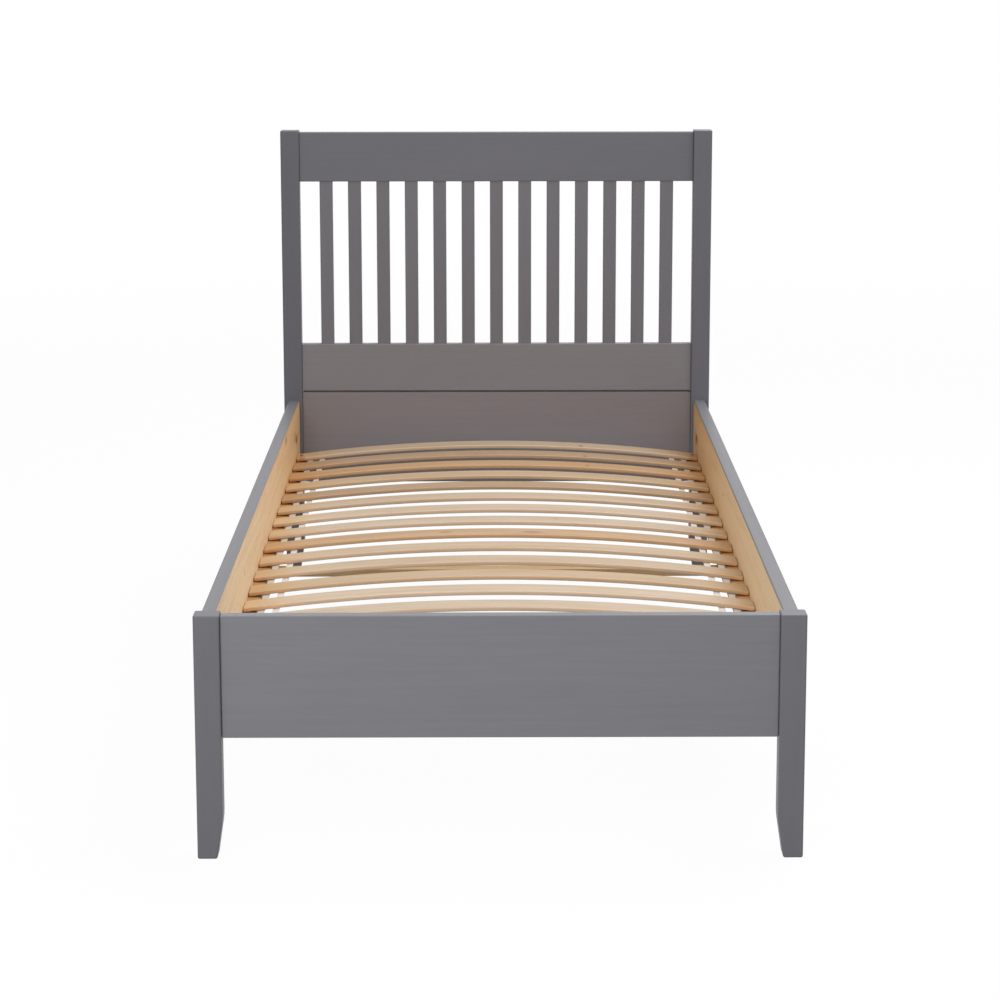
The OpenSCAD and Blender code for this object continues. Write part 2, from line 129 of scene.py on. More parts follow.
def saw_through(wood, axis, level):
    direction = Vector((axis == 0, axis == 1, axis == 2))
    bmesh.ops.bisect_plane(wood, geom=wood.verts[:] + wood.edges[:] + wood.faces[:],
                           plane_co=direction * level, plane_no=direction)


X, Y, Z = 0, 1, 2
sample = block(*node_box("footboard_panel"))
print("a sawn block has", len(edges_along(sample, X)), "long edges")
sample.free()

# %% [markdown]
# ## Where a piece lies in its tree
# Wood looks right when its figure belongs to the piece: the grain runs along the longest
# side, the rings curve round a heart that lies somewhere outside the board, and no two
# pieces are cut from the same spot. So each corner of a piece remembers its place in the
# log, as an attribute with three numbers: along the grain, across the board and through it.
# A second attribute keeps the place measured from the middle of the piece, and a third is
# the tint of this one piece. Mostly that is its own tone, because no two boards take their
# finish quite alike; on the two lower headboard boards it is also painted light, a warm lift
# for the light that the slats throw back onto them. The materials read all three.

# %% Write the timber attributes
def lay_grain(wood, name, tint=(1, 1, 1), heart=(0.03, 0.09)):
    sides = [[corner.co[axis] for corner in wood.verts] for axis in range(3)]
    low = Vector([min(side) for side in sides])
    high = Vector([max(side) for side in sides])
    size = high - low
    through, across, along = sorted(range(3), key=lambda axis: size[axis])
    draw = random.Random(name)
    in_log = Vector((draw.uniform(0, 9), draw.uniform(-0.04, 0.04), draw.uniform(*heart)))
    timber = wood.verts.layers.float_vector.new("timber")
    inside = wood.verts.layers.float_vector.new("inside")
    own_tint = wood.verts.layers.float_vector.new("tint")
    for corner in wood.verts:
        place = corner.co - (low + high) / 2
        place = Vector((place[along], place[across], place[through]))
        corner[inside] = place
        corner[timber] = place + in_log
        corner[own_tint] = tint
    return along


sample = block(*node_box("head_post_left"))
print("the grain of a head post runs along", "XYZ"[lay_grain(sample, "sample")])
sample.free()

# %% [markdown]
# ## From a block to a piece
# When the shape is done, the bmesh becomes a mesh object. Its normals are made to point
# outwards, it is shaded smooth, and a Weighted Normal modifier lets the wide faces stay flat
# while the narrow bevels catch a soft line of light. The piece takes its finishes, rides on
# the root, and hides the measured node that it replaces.

# %% Finish a piece
def as_object(wood, name, finishes):
    bmesh.ops.recalc_face_normals(wood, faces=wood.faces)
    mesh = bpy.data.meshes.new(name)
    wood.to_mesh(mesh)
    wood.free()
    piece = bpy.data.objects.new(name, mesh)
    scene.collection.objects.link(piece)
    for finish in finishes:
        mesh.materials.append(finish)
    mesh.shade_smooth()
    return piece


def finish_piece(wood, node, slot, *finishes):
    piece = as_object(wood, node + "_dressed", finishes)
    piece.modifiers.new("even_shading", "WEIGHTED_NORMAL").keep_sharp = True
    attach(piece, "root")
    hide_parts(node)
    return piece


def cut_away(piece, cutter):
    """Takes the cutter's space out of a piece, and gives the result back as a bmesh."""
    cut = piece.modifiers.new("cut", "BOOLEAN")
    cut.operation = "DIFFERENCE"
    cut.solver = "EXACT"
    cut.object = cutter
    bpy.context.view_layer.update()
    shaped = piece.evaluated_get(bpy.context.evaluated_depsgraph_get()).to_mesh()
    result = bmesh.new()
    result.from_mesh(shaped)
    for spent in (piece, cutter):
        bpy.data.objects.remove(spent)
    return result


print("helpers ready")

# %% [markdown]
# ## A short way to write node materials
# A procedural material is a small machine of nodes, and helpers keep the recipes readable.
# The first starts a material, the second adds a node with its inputs, and the third mixes
# two colours. An input may be a number, a colour or the output of an earlier node. The
# others are built on these: arithmetic, soft steps, stains laid over a colour, tints
# multiplied into it, noise and relief.

# %% Node helpers
def start_finish(name):
    finish = bpy.data.materials.new(name)
    finish.use_nodes = True
    return finish, finish.node_tree, finish.node_tree.nodes["Principled BSDF"]


def add(tree, kind, inputs=None, **settings):
    made = tree.nodes.new("ShaderNode" + kind)
    for setting, value in settings.items():
        setattr(made, setting, value)
    for socket, value in (inputs or {}).items():
        if isinstance(value, bpy.types.NodeSocket):
            tree.links.new(value, made.inputs[socket])
        else:
            made.inputs[socket].default_value = value
    return made


def mix_colours(tree, factor, first, second, how="MIX"):
    """Goes from the first colour to the second as the factor goes from 0 to 1."""
    made = tree.nodes.new("ShaderNodeMix")
    made.data_type = "RGBA"
    made.blend_type = how
    for socket, value in ((0, factor), (6, first), (7, second)):
        if isinstance(value, bpy.types.NodeSocket):
            tree.links.new(value, made.inputs[socket])
        else:
            made.inputs[socket].default_value = value if socket == 0 else (*value, 1)
    return made.outputs[2]


def sums(tree, operation, *values):
    return add(tree, "Math", dict(enumerate(values)), operation=operation).outputs[0]


def line(tree, value, slope, base):
    return sums(tree, "MULTIPLY_ADD", value, slope, base)


def fade(tree, value, start, end, low=0.0, high=1.0):
    """A soft step from low to high while the value goes from start to end."""
    made = add(tree, "MapRange", {"Value": value, "From Min": start, "From Max": end,
                                  "To Min": low, "To Max": high}, interpolation_type="SMOOTHSTEP")
    return made.outputs["Result"]


def stain(tree, mask, share, below, colour):
    """Lays a share of a colour over the one below, where the mask is."""
    return mix_colours(tree, sums(tree, "MULTIPLY", mask, share), below, colour)


def shade(tree, mask, below, tint):
    """Multiplies a tint into the colour below, where the mask is."""
    return mix_colours(tree, mask, below, tint, how="MULTIPLY")


def read(tree, attribute):
    return add(tree, "Attribute", attribute_name=attribute).outputs["Vector"]


def tinted(tree, colour):
    """The colour times the piece's own tint."""
    return add(tree, "VectorMath", {0: colour, 1: read(tree, "tint")},
               operation="MULTIPLY").outputs[0]


def stretch(tree, vector, factors):
    return add(tree, "VectorMath", {0: vector, 1: factors}, operation="MULTIPLY").outputs[0]


def noise(tree, vector, scale, detail=3.0, roughness=0.5):
    return add(tree, "TexNoise", {"Vector": vector, "Scale": scale, "Detail": detail,
                                  "Roughness": roughness})


def set_relief(tree, shader, height, strength, distance):
    bump = add(tree, "Bump", {"Height": height, "Strength": strength, "Distance": distance})
    tree.links.new(bump.outputs["Normal"], shader.inputs["Normal"])


print("node helpers ready")

# %% [markdown]
# ## Growth rings
# A tree's rings are near-circles round its heart, so a board shows them as lines that run
# along the grain and sometimes close into long arches. A Wave texture of rings gives that
# if the timber coordinates are pressed together along the grain, bent a little by noise,
# and pushed aside where a knot grew through. At a scale of 1 its waves lie 0.314 m apart,
# so that length over the wanted spacing gives the scale.

# %% Rings, fibres and knots
WAVE_APART = 0.314


def growth_rings(tree, timber, spacing, wander, press=0.06, knots=None, profile="SAW"):
    pressed = stretch(tree, timber, (press, 1, 1))
    drift = noise(tree, pressed, 16, detail=2).outputs["Color"]
    bent = add(tree, "VectorMath", {0: drift, 1: (0, wander, wander), 2: pressed},
               operation="MULTIPLY_ADD").outputs[0]
    if knots is not None:
        push = add(tree, "CombineXYZ", {"Y": sums(tree, "MULTIPLY", knots, 0.012)}).outputs[0]
        bent = add(tree, "VectorMath", {0: bent, 1: push}, operation="ADD").outputs[0]
    wave = add(tree, "TexWave", {"Vector": bent, "Scale": WAVE_APART / spacing,
                                 "Distortion": 1.2, "Detail": 2, "Detail Scale": 1.5},
               wave_type="RINGS", rings_direction="X", wave_profile=profile)
    return wave.outputs["Fac"]


def fibres(tree, timber, fine, along):
    return noise(tree, stretch(tree, timber, (along, fine, fine)), 1, detail=3).outputs["Fac"]


def marks_at(tree, marks):
    """A mask of single marks, each given by its middle and its reach each way, in metres."""
    place = add(tree, "TexCoord").outputs["Object"]
    found = 0.0
    for middle, reach in marks:
        away = add(tree, "VectorMath", {0: place, 1: middle}, operation="SUBTRACT").outputs[0]
        away = add(tree, "VectorMath", {0: away, 1: reach}, operation="DIVIDE").outputs[0]
        far = add(tree, "VectorMath", {0: away}, operation="LENGTH").outputs["Value"]
        found = sums(tree, "MAXIMUM", fade(tree, far, 1.0, 0.4), found)
    return found


def knot_field(tree, timber, spread, share, radius):
    """Two masks, the knot itself and the disturbed wood round it."""
    flat = stretch(tree, timber, (spread * 0.8, spread, 0))
    cells = add(tree, "TexVoronoi", {"Vector": flat, "Scale": 1, "Randomness": 1},
                voronoi_dimensions="2D")
    chance = add(tree, "SeparateColor", {"Color": cells.outputs["Color"]}).outputs["Red"]
    here = sums(tree, "LESS_THAN", chance, share)
    away = cells.outputs["Distance"]
    core = sums(tree, "MULTIPLY", here, fade(tree, away, radius * spread, radius * spread * 0.6))
    halo = sums(tree, "MULTIPLY", here, fade(tree, away, radius * spread * 5, 0))
    return core, halo


print("wood helpers ready")

# %% [markdown]
# ## Grey paint over pine
# The ends and the rails' outsides have a satin mid-grey paint, thin enough for the
# grain to telegraph through. The rings and fibres change its colour by only a few per cent,
# but they also drive the bump and the roughness, so that light glancing over a board finds
# them. A broad noise makes the paint a little uneven.

# %% Make the paint
def grey_paint():
    finish, tree, shader = start_finish("grey_paint")
    timber = read(tree, "timber")
    rings = growth_rings(tree, timber, 11 * MM, 0.03, profile="SIN")
    grain = fibres(tree, timber, fine=230, along=14)
    hair = fibres(tree, timber, fine=1100, along=45)
    cloud = noise(tree, stretch(tree, timber, (2.5, 11, 11)), 1, detail=3).outputs["Fac"]
    depth = line(tree, rings, 0.02, 0.87)
    depth = line(tree, grain, 0.10, depth)
    depth = line(tree, cloud, 0.14, depth)
    colour = add(tree, "VectorMath", {0: (0.196, 0.197, 0.213), "Scale": depth}, operation="SCALE")
    tree.links.new(tinted(tree, colour.outputs[0]), shader.inputs["Base Color"])
    tree.links.new(line(tree, grain, 0.16, 0.38), shader.inputs["Roughness"])
    shader.inputs["Specular IOR Level"].default_value = 0.35
    relief = line(tree, rings, 0.4, line(tree, grain, 0.8, hair))
    set_relief(tree, shader, relief, 0.3, 0.15 * MM)
    return finish


paint = grey_paint()
print("paint nodes:", len(paint.node_tree.nodes))

# %% [markdown]
# ## Bare pine
# The rails' inner faces, the ledges and the crossbar were never painted. Pine is pale
# yellow early in each year's growth and turns orange-brown late in it, with a sharp end,
# which is what a saw-tooth wave gives. Knots are small brown discs that the rings flow
# round. Voronoi cells scatter them, and only a share of the cells gets one. The largest
# knots of the two rails have places of their own.

# %% Make the pine
RAIL_KNOTS = (((-0.455, 0.540, 0.390), (0.02, 0.036, 0.012)),
              ((-0.455, 0.803, 0.345), (0.02, 0.036, 0.017)),
              ((-0.455, -0.46, 0.345), (0.02, 0.006, 0.008)),
              ((0.455, 0.16, 0.352), (0.02, 0.010, 0.006)))

RAIL_TOP = node_box("side_rail_left")[1].z


def bare_pine():
    finish, tree, shader = start_finish("bare_pine")
    timber = read(tree, "timber")
    core, halo = knot_field(tree, timber, 3.5, 0.22, 5 * MM)
    rings = growth_rings(tree, timber, 10 * MM, 0.03, press=0.05, knots=halo)
    hair = fibres(tree, timber, fine=330, along=9)
    year = add(tree, "ValToRGB", {"Fac": rings})
    stops = year.color_ramp.elements
    stops[0].color = (0.985, 0.79, 0.53, 1)
    stops[1].position, stops[1].color = 0.97, (0.935, 0.71, 0.44, 1)
    middle = stops.new(0.6)
    middle.color = (0.975, 0.77, 0.50, 1)
    streak = mix_colours(tree, fade(tree, hair, 0.45, 0.85, 0, 0.22), year.outputs["Color"],
                         (0.76, 0.54, 0.33))
    cloud = noise(tree, stretch(tree, timber, (1.6, 12, 12)), 1, detail=2).outputs["Fac"]
    warm = mix_colours(tree, fade(tree, cloud, 0.42, 0.68, 0, 0.38), streak, (0.86, 0.60, 0.38))
    band = noise(tree, stretch(tree, timber, (5, 70, 70)), 1, detail=2).outputs["Fac"]
    warm = mix_colours(tree, fade(tree, band, 0.48, 0.70, 0, 0.40), warm, (0.84, 0.56, 0.33))
    fleck = noise(tree, stretch(tree, timber, (45, 260, 260)), 1, detail=1).outputs["Fac"]
    warm = mix_colours(tree, fade(tree, fleck, 0.62, 0.75, 0, 0.36), warm, (0.70, 0.41, 0.24))
    place = add(tree, "SeparateXYZ", {"Vector": add(tree, "TexCoord").outputs["Object"]})
    # Painted shade: the bare pine grows darker and warmer towards the head end, where less light
    # reaches.
    head_end_shade = fade(tree, place.outputs["Y"], -0.6, 1.0)
    warm = shade(tree, head_end_shade, warm, (0.86, 0.72, 0.53))
    # Painted shade: a darker band along the top of the rails' bare faces, where the upturned edge
    # would catch the light.
    top_edge_shade = fade(tree, place.outputs["Z"], RAIL_TOP - 4 * MM, RAIL_TOP - MM)
    warm = shade(tree, top_edge_shade, warm, (0.80, 0.66, 0.50))
    # Painted light: the bare pine grows lighter towards the right, most of all on the right rail's
    # inner face.
    right = fade(tree, place.outputs["X"], -0.46, 0.46)
    warm = shade(tree, right, warm, (1.09, 1.08, 1.02))
    knotty = stain(tree, halo, 0.25, warm, (0.60, 0.37, 0.18))
    knotty = stain(tree, core, 0.75, knotty, (0.30, 0.14, 0.065))
    knotty = stain(tree, marks_at(tree, RAIL_KNOTS), 0.8, knotty, (0.50, 0.22, 0.10))
    tree.links.new(tinted(tree, knotty), shader.inputs["Base Color"])
    tree.links.new(line(tree, hair, 0.2, 0.5), shader.inputs["Roughness"])
    set_relief(tree, shader, line(tree, rings, 0.3, hair), 0.3, 0.25 * MM)
    return finish


pine = bare_pine()
print("pine nodes:", len(pine.node_tree.nodes))

# %% [markdown]
# ## Laminated slats
# A bowed slat is glued up from thin veneers over a curved form. Its face shows calm wood
# with fine streaks, and its long edges show the layers, in a yellower tone. The place inside
# the slat tells the material where the edge begins and how high a layer lies, even after the
# slat is bent. A few dark flecks, and reddish-brown blotches round the screws at both ends of
# the last slat, have places of their own. Towards both ends every slat is painted warmer and
# darker, a painted shade with the warm light that the rails throw back, and towards the
# right end darker again, which is painted shade too.

# %% Make the slat wood
slat_box = node_box("slat_01")
SLAT_HALF = (slat_box[1].y - slat_box[0].y) / 2
SLAT_MARKS = (((0.190, 0.828, 0.320), (0.007, 0.007, 0.02)),
              ((0.196, 0.712, 0.320), (0.006, 0.006, 0.02)),
              ((0.197, 0.606, 0.320), (0.006, 0.005, 0.02)),
              ((0.066, -0.055, 0.326), (0.028, 0.005, 0.02)),
              ((-0.102, -0.050, 0.325), (0.018, 0.004, 0.02)))
# Reddish-brown blotches round the screws at both ends of the last slat.
SLAT_END_BLOTCHES = (((-0.4435, 0.820, 0.295), (0.013, 0.020, 0.02)),
                ((0.4435, 0.820, 0.295), (0.013, 0.020, 0.02)))


def slat_wood():
    finish, tree, shader = start_finish("slat_wood")
    timber = read(tree, "timber")
    inside = add(tree, "SeparateXYZ", {"Vector": read(tree, "inside")})
    core, halo = knot_field(tree, timber, 5.5, 0.12, 3 * MM)
    rings = growth_rings(tree, timber, 12 * MM, 0.04, press=0.04, knots=halo, profile="SIN")
    hair = fibres(tree, timber, fine=330, along=6)
    cloud = noise(tree, stretch(tree, timber, (5, 30, 30)), 1, detail=3).outputs["Fac"]
    face = mix_colours(tree, fade(tree, rings, 0.2, 1, 0, 0.35), (0.59, 0.46, 0.315),
                       (0.52, 0.38, 0.24))
    face = mix_colours(tree, fade(tree, cloud, 0.4, 0.75, 0, 0.55), face, (0.49, 0.345, 0.205))
    face = mix_colours(tree, fade(tree, hair, 0.45, 0.8, 0, 0.45), face, (0.42, 0.28, 0.155))
    face = stain(tree, halo, 0.35, face, (0.50, 0.29, 0.14))
    face = stain(tree, core, 0.8, face, (0.27, 0.12, 0.06))
    face = stain(tree, marks_at(tree, SLAT_MARKS), 0.95, face, (0.22, 0.105, 0.055))
    layers = add(tree, "TexWave",
                 {"Vector": read(tree, "inside"), "Scale": WAVE_APART / (1.6 * MM),
                  "Distortion": 0.6, "Detail": 1, "Detail Scale": 0.4},
                 wave_type="BANDS", bands_direction="Z", wave_profile="SIN").outputs["Fac"]
    side = mix_colours(tree, layers, (0.66, 0.46, 0.29), (0.76, 0.57, 0.38))
    side = mix_colours(tree, fade(tree, hair, 0.4, 0.8, 0, 0.5), side, (0.56, 0.36, 0.21))
    out = sums(tree, "ABSOLUTE", inside.outputs["Y"])
    edge = fade(tree, out, SLAT_HALF - 3 * MM, SLAT_HALF - 0.6 * MM)
    wood = mix_colours(tree, edge, face, side)
    wood = stain(tree, marks_at(tree, SLAT_END_BLOTCHES), 0.6, wood, (0.45, 0.19, 0.12))
    # Painted shade: the slats turn warmer and darker towards both ends, for the shade and the warm
    # light near the rails.
    painted_end_shade = fade(tree, sums(tree, "ABSOLUTE", inside.outputs["X"]), 0.33, 0.455)
    wood = shade(tree, painted_end_shade, wood, (1.0, 0.88, 0.68))
    # Painted shade: every slat darkens towards its right end.
    right_end_shade = fade(tree, inside.outputs["X"], 0.20, 0.42)
    wood = shade(tree, right_end_shade, wood, (0.87, 0.875, 0.89))
    tree.links.new(tinted(tree, wood), shader.inputs["Base Color"])
    tree.links.new(line(tree, hair, 0.2, 0.42), shader.inputs["Roughness"])
    set_relief(tree, shader, hair, 0.25, 0.2 * MM)
    return finish


slat_finish = slat_wood()
print("slat nodes:", len(slat_finish.node_tree.nodes))

# %% [markdown]
# ## Webbing, metal and dowels
# The small parts have materials too. The tape under the slats is a narrow off-white weave:
# two waves at right angles make its threads. Zinc plating is a clouded pale grey metal. The
# slat screws and what holds the rails, bolts, washers and nuts, have a warm bronze colour.
# The dowels are bare turned wood.

# %% Make the small finishes
def webbing():
    finish, tree, shader = start_finish("webbing")
    place = add(tree, "TexCoord").outputs["Object"]
    weft, warp = [
        add(tree, "TexWave", {"Vector": place, "Scale": WAVE_APART / apart, "Distortion": 0.3},
            wave_type="BANDS", bands_direction=across).outputs["Fac"]
        for across, apart in (("Y", 1.1 * MM), ("X", 1.5 * MM))]
    weave = sums(tree, "MULTIPLY", weft, warp)
    soil = noise(tree, place, 60, detail=3).outputs["Fac"]
    colour = mix_colours(tree, weave, (0.62, 0.60, 0.575), (0.81, 0.79, 0.765))
    colour = mix_colours(tree, fade(tree, soil, 0.4, 0.8, 0, 0.3), colour, (0.62, 0.58, 0.51))
    where = add(tree, "SeparateXYZ", {"Vector": place})
    # Painted shade: the tapes grow darker and warmer towards the head end.
    colour = shade(tree, fade(tree, where.outputs["Y"], 0.1, 0.9), colour, (0.78, 0.70, 0.62))
    # Painted shade: the two outer tapes, which run close to the ledges, are darker.
    outer_tape_shade = fade(tree, sums(tree, "ABSOLUTE", where.outputs["X"]), 0.405, 0.412)
    colour = shade(tree, outer_tape_shade, colour, (0.80, 0.77, 0.74))
    tree.links.new(colour, shader.inputs["Base Color"])
    shader.inputs["Roughness"].default_value = 0.85
    set_relief(tree, shader, weave, 0.5, 0.3 * MM)
    return finish


def plated(name, light, dark, smooth):
    finish, tree, shader = start_finish(name)
    place = add(tree, "TexCoord").outputs["Object"]
    cloud = noise(tree, place, 260, detail=4).outputs["Fac"]
    fine = noise(tree, place, 1500, detail=2).outputs["Fac"]
    tree.links.new(mix_colours(tree, cloud, dark, light), shader.inputs["Base Color"])
    shader.inputs["Metallic"].default_value = 1
    tree.links.new(line(tree, fine, 0.25, smooth), shader.inputs["Roughness"])
    set_relief(tree, shader, fine, 0.1, 0.1 * MM)
    return finish


def turned_wood():
    finish, tree, shader = start_finish("turned_wood")
    place = add(tree, "TexCoord").outputs["Object"]
    speck = noise(tree, stretch(tree, place, (90, 90, 90)), 1, detail=4).outputs["Fac"]
    tree.links.new(mix_colours(tree, speck, (0.47, 0.29, 0.16), (0.62, 0.43, 0.26)),
                   shader.inputs["Base Color"])
    tree.links.new(line(tree, speck, 0.2, 0.5), shader.inputs["Roughness"])
    return finish


tape_finish = webbing()
zinc = plated("zinc_plating", (0.62, 0.63, 0.65), (0.46, 0.47, 0.49), 0.28)
bronze = plated("bronze_plating", (0.40, 0.17, 0.085), (0.24, 0.09, 0.045), 0.32)
dowel_finish = turned_wood()
print("materials:", len(bpy.data.materials))

# %% [markdown]
# ## The camera
# The bed is seen from the foot, a little above the height of the headboard, through a
# long lens that keeps the rails from spreading. The camera looks down at the slats, and a
# small vertical shift of the lens keeps the posts close to upright. Three small angles, in
# radians, turn it sideways, tip it and roll it. They give its three axes, which go straight
# into a matrix: right, up and backwards.

# %% Place the camera
FOOT_FACE = node_box("foot_post_left")[0].y
CAMERA_PLACE = Vector((-0.016, FOOT_FACE - 4.129, 1.499))
CAMERA_TURN, CAMERA_TIP, CAMERA_ROLL = 0.0039, -0.1784, -0.0011
camera_data = bpy.data.cameras.new("camera")
camera_data.lens = 96.3
camera_data.sensor_width = 36
camera_data.shift_y = -0.1
camera = bpy.data.objects.new("camera", camera_data)
scene.collection.objects.link(camera)
scene.camera = camera


def aim_camera(place, turn, tip, roll):
    forward = Vector((math.sin(turn) * math.cos(tip), math.cos(turn) * math.cos(tip),
                      math.sin(tip)))
    right = Vector((math.cos(turn), -math.sin(turn), 0))
    up = right.cross(forward)
    right, up = (right * math.cos(roll) + up * math.sin(roll),
                 up * math.cos(roll) - right * math.sin(roll))
    axes = Matrix((right, up, -forward)).transposed().to_4x4()
    camera.matrix_world = Matrix.Translation(place) @ axes


aim_camera(CAMERA_PLACE, CAMERA_TURN, CAMERA_TIP, CAMERA_ROLL)
print("camera at", tuple(round(value, 3) for value in camera.location))

# %% [markdown]
# ## The posts
# A post is one length of timber, nearly square in section, whose inner side tapers in over
# the last few centimetres above the floor. Three saw cuts across the block, close together,
# mark where the taper starts. Moving the inner corners of each cut, and those at the floor,
# makes the slope with a soft knee. The long edges, the top and the foot then get their own
# rounding, the foot the largest, because it would splinter first.

# %% Make the four posts
def make_post(node, tint):
    low, high = node_box(node)
    side = 1 if low.x > 0 else -1
    inner = low.x if side > 0 else high.x
    wood = block(low, high)
    bend = low.z + TAPER_HEIGHT
    for rise, step in TAPER_KNEE:
        saw_through(wood, Z, bend + rise)
    slope = [(bend + rise, step) for rise, step in TAPER_KNEE] + [(low.z, TAPER_IN)]
    for level, step in slope:
        on_level = [corner for corner in wood.verts
                    if abs(corner.co.z - level) < SAME_PLACE
                    and abs(corner.co.x - inner) < SAME_PLACE]
        bmesh.ops.translate(wood, vec=(side * step, 0, 0), verts=on_level)
    long_edges = [edge for edge in wood.edges
                  if abs(edge.verts[0].co.y - edge.verts[1].co.y) < SAME_PLACE
                  and abs(edge.verts[0].co.z - edge.verts[1].co.z) > MM]
    ease(wood, long_edges, POST_EDGE)
    ease(wood, edges_at(wood, Z, high.z), POST_TOP_EDGE)
    ease(wood, edges_at(wood, Z, low.z), POST_FOOT_EDGE)
    lay_grain(wood, node, tint)
    return finish_piece(wood, node, "painted_grey", paint)


POST_TINTS = {"head_post_left": (0.71, 0.70, 0.73), "head_post_right": (0.79, 0.78, 0.82),
              "foot_post_left": (0.80, 0.79, 0.81), "foot_post_right": (0.82, 0.81, 0.84)}
for node, tint in POST_TINTS.items():
    post = make_post(node, tint)
    print(post.name, "has", len(post.data.polygons), "faces")

# %% [markdown]
# ## Plain boards
# The footboard and the headboard's top rail are plain boards between two posts. Their long
# edges are eased first, and then the rim of each end a little, which leaves a narrow
# shadow line where a board meets its post. The ledges and the crossbar are made the same
# way from bare pine.

# %% Make the plain boards
def ease_ends(wood, axis, low, high, radius=BOARD_END_EDGE):
    for level in (low[axis], high[axis]):
        ease(wood, edges_at(wood, axis, level), radius, segments=2)


def make_board(node, axis, edge, slot, finish, tint, end_edge=BOARD_END_EDGE):
    low, high = node_box(node)
    wood = block(low, high)
    ease(wood, edges_along(wood, axis), edge)
    ease_ends(wood, axis, low, high, end_edge)
    lay_grain(wood, node, tint)
    return finish_piece(wood, node, slot, finish)


# The ledges' dark brown tint stands partly for a darker wood and partly for painted shade, the
# shade that falls on them between the slats.
LEDGE_TINT_AND_SHADE = (0.45, 0.30, 0.16)
CROSSBAR_TINT = (0.80, 0.74, 0.66)
make_board("footboard_panel", X, BOARD_EDGE, "painted_grey", paint, (1.07, 1.07, 1.08),
           PANEL_END_EDGE)
make_board("headboard_top_rail", X, BOARD_EDGE, "painted_grey", paint, (0.86, 0.855, 0.89))
make_board("slat_ledge_left", Y, LEDGE_EDGE, "bare_pine", pine, LEDGE_TINT_AND_SHADE)
make_board("slat_ledge_right", Y, LEDGE_EDGE, "bare_pine", pine, LEDGE_TINT_AND_SHADE)
make_board("centre_crossbar", X, LEDGE_EDGE, "bare_pine", pine, CROSSBAR_TINT)
print("boards made, the footboard from", node_box("footboard_panel")[0])

# %% [markdown]
# ## Tongue and groove
# The lower half of the headboard is two boards, joined by a tongue in a groove. A narrow
# gap between their faces, with the tongue's wood at its bottom, makes the dark line that
# shows from the front and hides the wood's seasonal movement. Two saw lines mark the
# tongue's width, and extruding the strip between them raises it, or sinks it.

# %% Make the joined boards
def draw_out(wood, faces, rise):
    """Extrudes the faces upwards, or downwards if the rise is negative."""
    moved = bmesh.ops.extrude_face_region(wood, geom=faces)["geom"]
    corners = [part for part in moved if isinstance(part, bmesh.types.BMVert)]
    bmesh.ops.translate(wood, vec=(0, 0, rise), verts=corners)
    bmesh.ops.delete(wood, geom=[face for face in faces if face.is_valid],
                     context="FACES_ONLY")


def extrude_strip(wood, level, half, rise):
    low_y = min(corner.co.y for corner in wood.verts)
    middle = (low_y + max(corner.co.y for corner in wood.verts)) / 2
    saw_through(wood, Y, middle - half)
    saw_through(wood, Y, middle + half)
    strip = [face for face in wood.faces
             if all(abs(corner.co.z - level) < SAME_PLACE for corner in face.verts)
             and abs(face.calc_center_median().y - middle) < half / 2]
    draw_out(wood, strip, rise)


def make_joined_board(node, tongue_below, tint):
    low, high = node_box(node)
    if tongue_below:
        low.z += TONGUE_HIGH
    wood = block(low, high)
    joint = low.z if tongue_below else high.z
    free = high.z if tongue_below else low.z
    long_edges = edges_along(wood, X)
    at_joint = [edge for edge in long_edges if abs(edge.verts[0].co.z - joint) < MM]
    at_free = [edge for edge in long_edges if abs(edge.verts[0].co.z - free) < MM]
    ease(wood, at_joint, GROOVE_LEG, segments=1)
    ease(wood, at_free, BOARD_EDGE)
    ease_ends(wood, X, low, high)
    if tongue_below:
        extrude_strip(wood, joint, TONGUE_THICK / 2, -TONGUE_HIGH)
    else:
        extrude_strip(wood, joint, TONGUE_THICK / 2 + TONGUE_PLAY,
                      GROOVE_GAP - TONGUE_HIGH - GROOVE_SPARE)
    lay_grain(wood, node, tint)
    return finish_piece(wood, node, "painted_grey", paint)


# Painted light as well as tone: these two tints lift and warm the lower headboard boards for the
# light that the slats throw back onto them.
for node, tongue_below, tint in (("headboard_middle_board", True, (1.28, 1.19, 1.17)),
                                 ("headboard_lower_board", False, (1.27, 1.13, 1.09))):
    board = make_joined_board(node, tongue_below, tint)
    print(board.name, "is", round(board.dimensions.z, 4), "m high")

# %% [markdown]
# ## Spindles
# The thirteen flat spindles stand in mortises, so each has a tenon at both ends.
# Insetting an end face, scaling it to the tenon's section and drawing it out leaves a
# shoulder all round. The upright edges are eased first, so that the shoulder keeps its
# crisp line.

# %% Make the spindles
SHOULDER = 3 * MM


def draw_tenon(wood, level, direction):
    end = [face for face in wood.faces
           if all(abs(corner.co.z - level) < SAME_PLACE for corner in face.verts)]
    bmesh.ops.inset_region(wood, faces=end, thickness=SHOULDER, use_even_offset=True)
    rim = end[0].verts[:]
    middle = end[0].calc_center_median()
    width = max(corner.co.x for corner in rim) - min(corner.co.x for corner in rim)
    depth = max(corner.co.y for corner in rim) - min(corner.co.y for corner in rim)
    bmesh.ops.scale(wood, vec=(TENON_SIZE.x / width, TENON_SIZE.y / depth, 1), verts=rim,
                    space=Matrix.Translation(-middle))
    draw_out(wood, end, direction * TENON_LONG)


def make_spindle(node, tint):
    low, high = node_box(node)
    low.z += TENON_LONG
    high.z -= TENON_LONG
    wood = block(low, high)
    ease(wood, edges_along(wood, Z), SPINDLE_EDGE)
    draw_tenon(wood, low.z, -1)
    draw_tenon(wood, high.z, 1)
    lay_grain(wood, node, tint)
    return finish_piece(wood, node, "painted_grey", paint)


spindles = sorted(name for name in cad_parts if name.startswith("headboard_spindle"))
for node in spindles:
    depth = random.Random(node + "depth").uniform(0.95, 1.00)
    spindle = make_spindle(node, (depth, depth * 0.96, depth * 0.98))
print(len(spindles), "spindles, each with", len(spindle.data.polygons), "faces")

